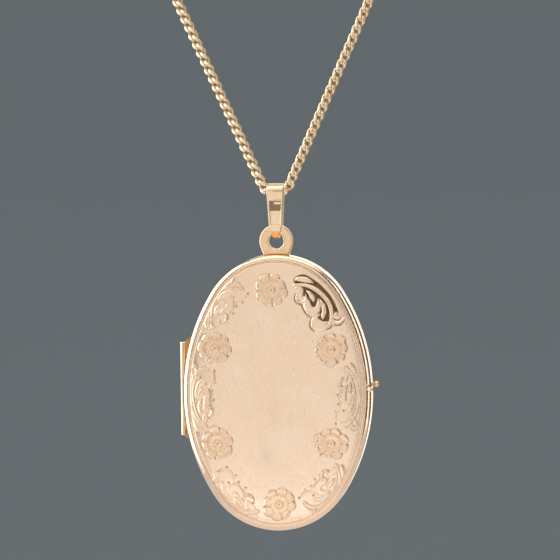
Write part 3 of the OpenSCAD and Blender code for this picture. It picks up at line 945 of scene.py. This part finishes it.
RIM_SECTION = [
    (0.80, 0.40), (0.82, 0.46), (0.88, 0.50), (0.96, 0.50), (1.04, 0.48), (1.09, 0.42),
    (1.10, 0.30), (1.10, -0.55), (1.08, -0.62), (1.02, -0.65), (0.80, -0.65), (WALL_T, -0.65),
    (WALL_T, -0.10), (0.80, -0.10),
]
rim = oval_loft("snap_in_rim", RIM_SECTION, -1)
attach(rim, "back_half")
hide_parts("snap_rim")
dress(rim, INNER)

FRAME_SECTION = [
    (0.79, 1.54), (0.79, 0.82), (0.82, 0.76), (0.88, 0.73), (0.98, 0.72), (1.08, 0.735),
    (1.15, 0.79), (1.19, 0.83), (1.24, 0.79), (1.32, 0.74), (1.44, 0.725), (1.56, 0.74),
    (1.68, 0.79), (1.745, 0.87), (1.75, 0.95), (1.72, 0.98), (1.06, 0.98), (1.06, 1.54),
]
for half, side in (("front", -1), ("back", 1)):
    ring = oval_loft(f"beaded_{half}_photo_frame", FRAME_SECTION, side)
    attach(ring, f"{half}_half")
    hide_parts(f"{half}_photo_frame")
    dress(ring, INNER)
    dress(NODES[f"{half}_window"], clear(f"{half}_clear_window"))
    bevel(NODES[f"{half}_window"], 0.04, 2)
    dress(NODES[f"{half}_photo"], paper(f"{half}_card"))
    # Hinge seat: its darker gold is painted shade.
    dress(NODES[f"{half}_hinge_seat"], SHADED_SEAT)
    bevel(NODES[f"{half}_hinge_seat"], 0.05)

for node in ("upper_hinge_knuckle", "lower_hinge_knuckle", "middle_hinge_knuckle", "hinge_pin"):
    dress(NODES[node], HINGE)
    bevel(NODES[node], 0.09)
dress(make_loop(), LOOP)
dress(NODES["catch_bead"], INNER)

# Thumb nibs: a pressed ball on a short neck, pointing out from its wall
for half, place, radius, axis in (
    ("front", FRONT_NIB, FRONT_NIB_R, (0.7, -0.7, 0)),
    ("back", BACK_NIB, BACK_NIB_R, (1, 0, 0)),
):
    turns = np.linspace(-0.9, math.pi / 2, 16)
    ball = [(radius * math.cos(a), radius * math.sin(a)) for a in turns]
    neck = 0.62 * radius
    foot = -radius - (0.5 if half == "back" else 0.0)
    profile = [(0, foot), (neck, foot), (neck, -0.80 * radius)] + ball
    nib = lathe(f"{half}_pressed_nib", profile, place, axis)
    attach(nib, f"{half}_half")
    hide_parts(f"{half}_thumb_nib")
    dress(nib, FITTING)


# ---- stage and light ----

def make_stage():
    """A pale round floor, far enough down to clear the lights, that sweeps up into a grey wall."""
    floor_z, floor_r, sweep, wall_top = -440.0, 1000.0, 450.0, 1500.0
    profile = [(r, floor_z) for r in (60, 200, 450, 800, floor_r)]
    for a in np.linspace(0, math.pi / 2, 20)[1:]:
        profile.append((floor_r + sweep * math.sin(a), floor_z + sweep * (1 - math.cos(a))))
    profile.append((floor_r + sweep, wall_top))
    columns = 96
    angle = np.arange(columns) * TURN / columns
    rings = [
        np.stack([r * np.cos(angle), r * np.sin(angle), np.full(columns, z)], 1) for r, z in profile
    ]
    vertices = np.vstack(rings + [np.array([[0, 0, floor_z]])])
    faces = grid_faces(len(rings), columns) + fan(len(rings) * columns, 0, columns)
    stage = add_object("pale_sweep", vertices, faces)
    g = Graph("pale_stage")
    mottle = g.spread(g.noise(3, 3), 0.3, 0.7)
    pale, grey = g.blend(mottle, (0.62, 0.63, 0.64), (0.58, 0.59, 0.60)), (0.425, 0.470, 0.500)
    reach = g.add("ShaderNodeVectorMath", operation="LENGTH")
    g.link(g.place, reach.inputs[0])
    away = g.spread(reach.outputs["Value"], 0.60, 1.20)
    g.finish(Base_Color=g.blend(away, pale, grey), Roughness=0.9, Specular_IOR_Level=0.0)
    dress(stage, g.material)


LIGHTS_STAGE = ("front_card", "top_card")


def card(name, azimuth, elevation, distance, width, height, radiance, colour=(1, 1, 1)):
    """A soft light aimed at the locket; azimuth 0 is the front and grows to the right.

    Only the front and top ones light the stage, so that the others leave no edge on it.
    """
    a, e = math.radians(azimuth), math.radians(elevation)
    middle = Vector((0, 0, -26 * MM))
    way = Vector((math.sin(a) * math.cos(e), -math.cos(a) * math.cos(e), math.sin(e)))
    data = bpy.data.lights.new(name, "AREA")
    data.shape = "RECTANGLE"
    data.size, data.size_y = width, height
    data.energy = radiance * width * height * math.pi
    data.color = colour
    light = bpy.data.objects.new(name, data)
    light.location = middle + way * distance
    light.rotation_euler = way.to_track_quat("Z", "Y").to_euler()
    light.visible_camera = False
    light.visible_diffuse = name in LIGHTS_STAGE
    bpy.context.scene.collection.objects.link(light)
    return light


def make_lights():
    world = bpy.data.worlds.new("soft_room")
    world.use_nodes = True
    world.node_tree.nodes["Background"].inputs["Color"].default_value = (1.0, 0.97, 0.92, 1)
    world.node_tree.nodes["Background"].inputs["Strength"].default_value = 0.55
    bpy.context.scene.world = world
    card("front_card", -3, 8, 0.75, 0.62, 1.00, 0.81, (1.0, 0.995, 1.0))
    card("left_card", -66, 18, 0.85, 0.85, 1.40, 2.2)
    card("right_card", 54, 12, 0.90, 0.40, 0.90, 1.5)
    card("top_card", 10, 72, 0.90, 0.9, 0.8, 1.15)
    card("rear_card", 160, 35, 0.95, 0.9, 0.6, 0.9)
    card("rim_card", 172, 2, 0.95, 0.55, 0.85, 1.7, (1.0, 0.97, 0.92))
    bounce = card("floor_bounce", -3, -40, 0.078, 0.40, 0.20, 0.53, (1.0, 0.97, 1.0))
    bounce.rotation_euler = (math.pi, 0, 0)


make_stage()
make_lights()
bpy.context.scene.view_settings.view_transform = "Standard"
